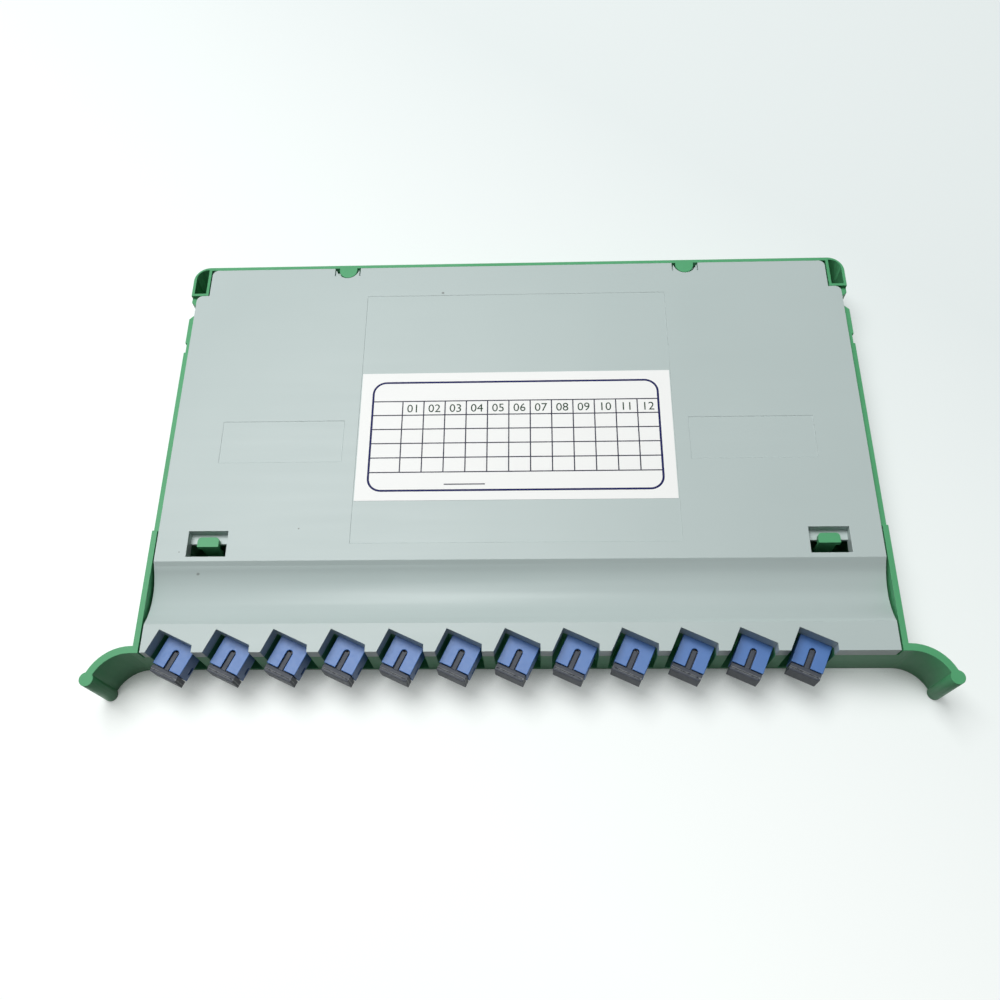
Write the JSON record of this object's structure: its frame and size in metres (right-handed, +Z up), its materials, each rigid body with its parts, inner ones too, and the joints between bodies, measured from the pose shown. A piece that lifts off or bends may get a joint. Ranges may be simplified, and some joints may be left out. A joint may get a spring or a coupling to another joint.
{
  "type": "fibre patch panel",
  "caption": "Flat slide-in fibre tray with curved finger ears, a clip-down cover with a sunk front trough, and a zigzag front row of slanted SC adapters with dust caps.",
  "frame": {"origin": "under the middle of the tray's overall box, on the plane it rests on", "axes": "+X to the right along the row of ports, +Y to the rear, +Z up"},
  "size_m": [0.3662, 0.2153, 0.0288],
  "materials": {
    "green_abs": "satin moulded ABS, green",
    "grey_abs": "fine-grained moulded ABS, light cool grey",
    "paper": "coated paper label with a printed table",
    "comb_abs": "moulded ABS, grey",
    "adapter_plastic": "glossy moulded plastic, blue",
    "cap_plastic": "soft moulded plastic, charcoal",
    "latch_plastic": "moulded engineering plastic, natural",
    "zirconia": "polished ceramic, white"
  },
  "bodies": {
    "tray_body": {"tray": "green_abs", "splice_holder": "comb_abs", "adapter_01": "adapter_plastic", "adapter_02": "adapter_plastic", "adapter_03": "adapter_plastic", "adapter_04": "adapter_plastic", "adapter_05": "adapter_plastic", "adapter_06": "adapter_plastic", "adapter_07": "adapter_plastic", "adapter_08": "adapter_plastic", "adapter_09": "adapter_plastic", "adapter_10": "adapter_plastic", "adapter_11": "adapter_plastic", "adapter_12": "adapter_plastic", "rear_dust_caps": "cap_plastic", "sleeve_holders": "latch_plastic", "split_sleeves": "zirconia"},
    "cover_body": {"cover": "grey_abs", "label": "paper"},
    "cap_body_01": {"dust_cap_01": "cap_plastic"},
    "cap_body_02": {"dust_cap_02": "cap_plastic"},
    "cap_body_03": {"dust_cap_03": "cap_plastic"},
    "cap_body_04": {"dust_cap_04": "cap_plastic"},
    "cap_body_05": {"dust_cap_05": "cap_plastic"},
    "cap_body_06": {"dust_cap_06": "cap_plastic"},
    "cap_body_07": {"dust_cap_07": "cap_plastic"},
    "cap_body_08": {"dust_cap_08": "cap_plastic"},
    "cap_body_09": {"dust_cap_09": "cap_plastic"},
    "cap_body_10": {"dust_cap_10": "cap_plastic"},
    "cap_body_11": {"dust_cap_11": "cap_plastic"},
    "cap_body_12": {"dust_cap_12": "cap_plastic"}
  },
  "joints": [
    {"name": "cover_tilt", "type": "hinge", "parent": "tray_body", "child": "cover_body", "pos_m": [0, 0.105, 0.024], "axis": [-1, 0, 0], "range_deg": [0, 12]},
    {"name": "cap_slide_01", "type": "slide", "parent": "tray_body", "child": "cap_body_01", "axis": [-0.4226, -0.9063, 0], "range_m": [0, 0.012]},
    {"name": "cap_slide_02", "type": "slide", "parent": "tray_body", "child": "cap_body_02", "axis": [-0.4226, -0.9063, 0], "range_m": [0, 0.012]},
    {"name": "cap_slide_03", "type": "slide", "parent": "tray_body", "child": "cap_body_03", "axis": [-0.4226, -0.9063, 0], "range_m": [0, 0.012]},
    {"name": "cap_slide_04", "type": "slide", "parent": "tray_body", "child": "cap_body_04", "axis": [-0.4226, -0.9063, 0], "range_m": [0, 0.012]},
    {"name": "cap_slide_05", "type": "slide", "parent": "tray_body", "child": "cap_body_05", "axis": [-0.4226, -0.9063, 0], "range_m": [0, 0.012]},
    {"name": "cap_slide_06", "type": "slide", "parent": "tray_body", "child": "cap_body_06", "axis": [-0.4226, -0.9063, 0], "range_m": [0, 0.012]},
    {"name": "cap_slide_07", "type": "slide", "parent": "tray_body", "child": "cap_body_07", "axis": [-0.4226, -0.9063, 0], "range_m": [0, 0.012]},
    {"name": "cap_slide_08", "type": "slide", "parent": "tray_body", "child": "cap_body_08", "axis": [-0.4226, -0.9063, 0], "range_m": [0, 0.012]},
    {"name": "cap_slide_09", "type": "slide", "parent": "tray_body", "child": "cap_body_09", "axis": [-0.4226, -0.9063, 0], "range_m": [0, 0.012]},
    {"name": "cap_slide_10", "type": "slide", "parent": "tray_body", "child": "cap_body_10", "axis": [-0.4226, -0.9063, 0], "range_m": [0, 0.012]},
    {"name": "cap_slide_11", "type": "slide", "parent": "tray_body", "child": "cap_body_11", "axis": [-0.4226, -0.9063, 0], "range_m": [0, 0.012]},
    {"name": "cap_slide_12", "type": "slide", "parent": "tray_body", "child": "cap_body_12", "axis": [-0.4226, -0.9063, 0], "range_m": [0, 0.012]}
  ]
}
